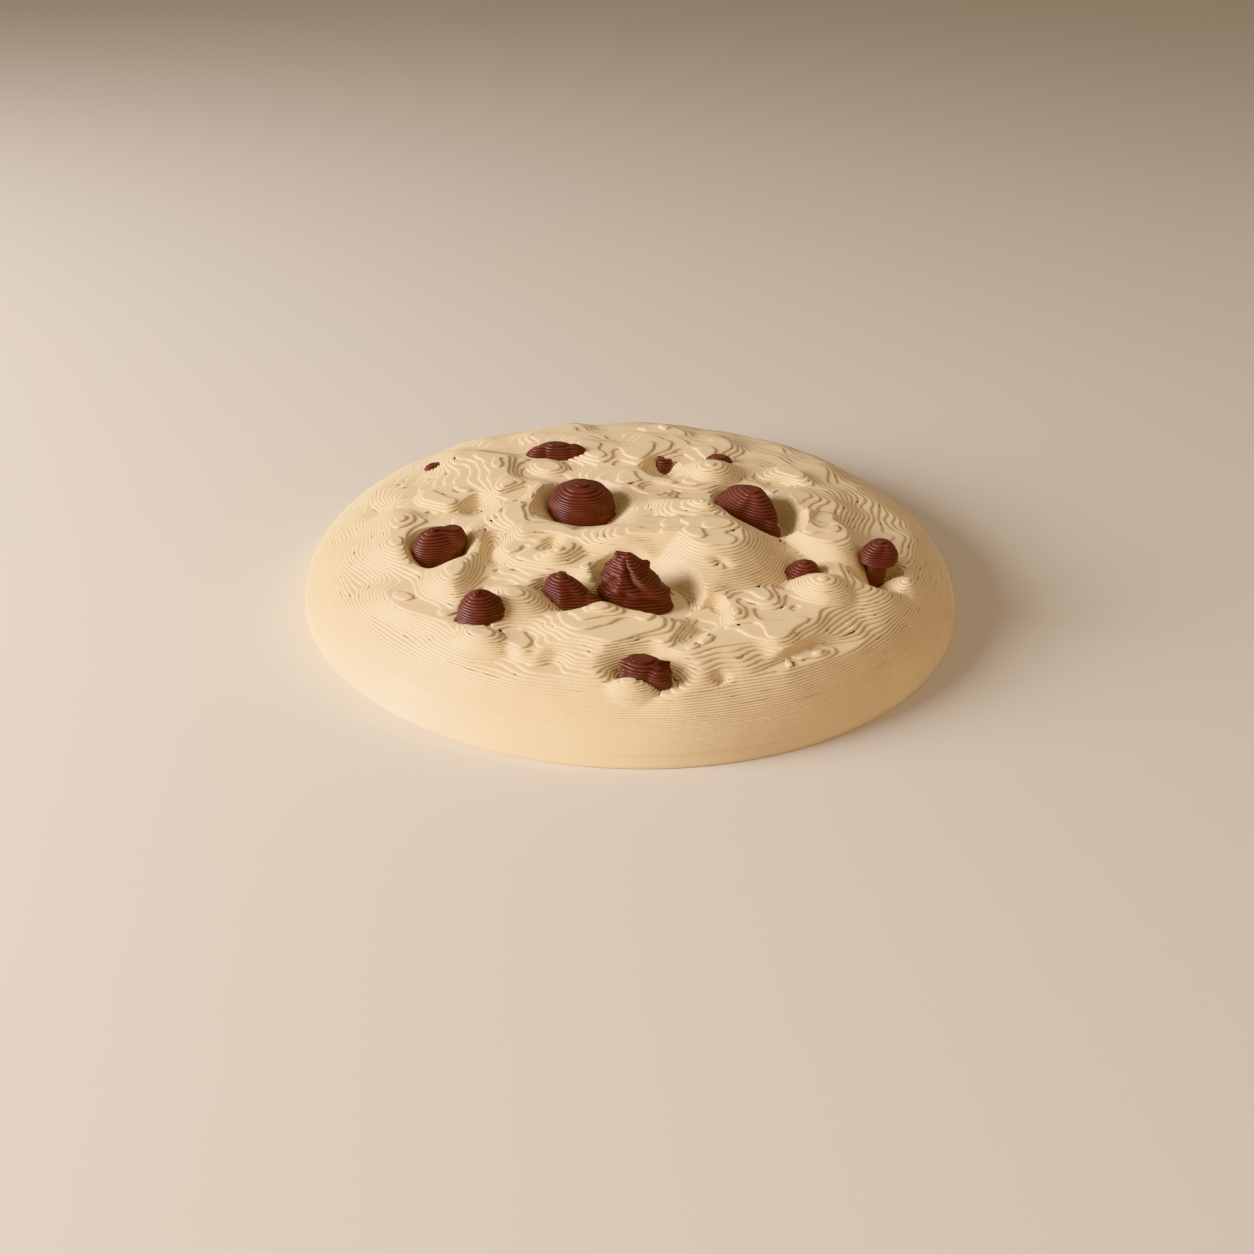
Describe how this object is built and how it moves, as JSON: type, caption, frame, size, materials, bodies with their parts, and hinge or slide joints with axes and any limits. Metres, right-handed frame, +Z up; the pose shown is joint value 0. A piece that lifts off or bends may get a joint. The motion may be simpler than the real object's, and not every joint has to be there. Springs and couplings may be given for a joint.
{
  "type": "plastic chocolate chip cookie model",
  "caption": "Round flattened cookie printed in cream plastic, with a lumpy terraced top and dark brown chips set in hollows.",
  "frame": {"origin": "middle of the flat base, at table height", "axes": "+Z up through the thickness, -Y towards the side that faces the camera, +X to the right seen from there"},
  "size_m": [0.095, 0.095, 0.015],
  "materials": {
    "dough_plastic": "matte cream printed plastic with fine layer steps",
    "chip_plastic": "satin dark brown printed plastic with fine layer steps"
  },
  "bodies": {
    "root": {"cookie_body": "dough_plastic", "chip_back_left": "chip_plastic", "chip_back_bean": "chip_plastic", "chip_back_slit": "chip_plastic", "chip_back_low": "chip_plastic", "chip_round": "chip_plastic", "chip_crescent": "chip_plastic", "chip_left": "chip_plastic", "chip_drop": "chip_plastic", "chip_tall": "chip_plastic", "chip_front_left": "chip_plastic", "chip_half_hidden": "chip_plastic", "chip_capped": "chip_plastic", "chip_front": "chip_plastic"}
  },
  "joints": []
}
